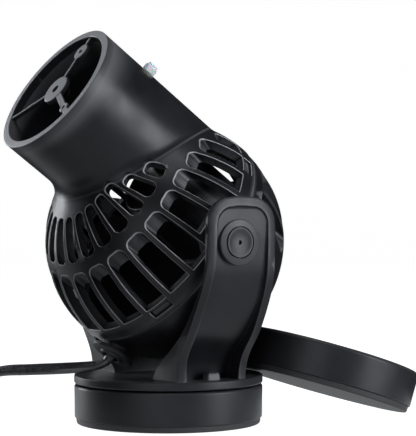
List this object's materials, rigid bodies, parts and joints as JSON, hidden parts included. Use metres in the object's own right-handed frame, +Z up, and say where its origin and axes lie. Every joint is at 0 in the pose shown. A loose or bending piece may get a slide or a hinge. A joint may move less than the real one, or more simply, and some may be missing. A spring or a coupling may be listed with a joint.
{
  "type": "aquarium wave maker pump",
  "caption": "Ball-caged circulation pump with a guarded nozzle, tilting in a yoke on a magnetic swivel base, with its loose outer magnet, flat cord, inline switch and plug.",
  "frame": {"origin": "centre of the swivel base's pad, on the surface that the base stands on", "axes": "+Z up, -Y the way the nozzle leans, X along the tilt axis"},
  "size_m": [0.1093, 0.243, 0.1329],
  "materials": {
    "black_plastic": "satin",
    "dark_plastic": "satin",
    "rim_plastic": "satin",
    "motor_plastic": "semi-gloss",
    "clear_plastic": "clear",
    "rubber": "matte",
    "steel": "satin",
    "copper_wire": "enamelled",
    "resin": "cast",
    "magnet": "sintered",
    "ceramic": "polished",
    "blade_plastic": "semi-gloss",
    "switch_plastic": "satin",
    "rocker_plastic": "gloss",
    "brass": "plain",
    "cord_jacket": "satin"
  },
  "bodies": {
    "yoke": {"yoke_bracket": "black_plastic", "swivel_washer": "steel", "swivel_screw": "steel", "friction_washer_right": "rubber", "friction_washer_left": "rubber", "pivot_pin_right": "black_plastic", "pivot_pin_left": "black_plastic", "pivot_cap_right": "black_plastic", "pivot_cap_left": "black_plastic", "cord_lead": "cord_jacket", "cord_run": "cord_jacket", "cord_coil": "cord_jacket", "cord_tie": "rubber", "cord_to_switch": "cord_jacket", "cord_to_plug": "cord_jacket", "switch_lower_shell": "switch_plastic", "switch_upper_shell": "switch_plastic", "rocker_pin": "steel", "switch_contact_in": "brass", "switch_contact_out": "brass", "plug_body": "rubber", "plug_blade_right": "brass", "plug_blade_left": "brass"},
    "base": {"base_housing": "black_plastic", "base_magnet": "magnet", "base_back_plate": "steel", "base_pad": "rubber"},
    "pump": {"front_cage": "black_plastic", "rear_cage": "dark_plastic", "front_guard": "rim_plastic", "nozzle_peg": "clear_plastic", "trunnion_right": "dark_plastic", "trunnion_left": "dark_plastic", "motor_housing": "motor_plastic", "motor_cap": "motor_plastic", "stator_core": "steel", "stator_winding_front": "copper_wire", "stator_winding_rear": "copper_wire", "stator_potting": "resin", "front_bush": "rubber", "rear_bush": "rubber", "cord_gland": "rubber", "cord_inner": "cord_jacket"},
    "rotor": {"rotor_magnet": "magnet", "rotor_shaft": "ceramic", "drive_coupling": "dark_plastic", "propeller": "blade_plastic", "propeller_cap": "motor_plastic"},
    "rocker": {"switch_rocker": "rocker_plastic"},
    "outer_disc": {"outer_housing": "black_plastic", "outer_magnet": "magnet", "outer_back_plate": "steel", "outer_pad": "rubber"}
  },
  "joints": [
    {"name": "tilt", "type": "hinge", "parent": "yoke", "child": "pump", "pos_m": [0, -0.0013, 0.0628], "axis": [1, 0, 0], "range_deg": [-44, 24], "deforming": ["cord_lead"]},
    {"name": "swivel", "type": "hinge", "parent": "yoke", "child": "base", "pos_m": [0, 0, 0.0119], "axis": [0, 0, 1], "continuous": true},
    {"name": "spin", "type": "hinge", "parent": "pump", "child": "rotor", "pos_m": [0, 0.00795, 0.07548], "axis": [0, -0.808, 0.5892], "continuous": true},
    {"name": "rocker", "type": "hinge", "parent": "yoke", "child": "rocker", "pos_m": [-0.009, -0.1325, 0.0183], "axis": [0, 1, 0], "range_deg": [-16, 0]},
    {"name": "lift_off", "type": "slide", "parent": "yoke", "child": "outer_disc", "axis": [0.0935, 0.8897, 0.4468], "range_m": [0, 0.08]}
  ]
}
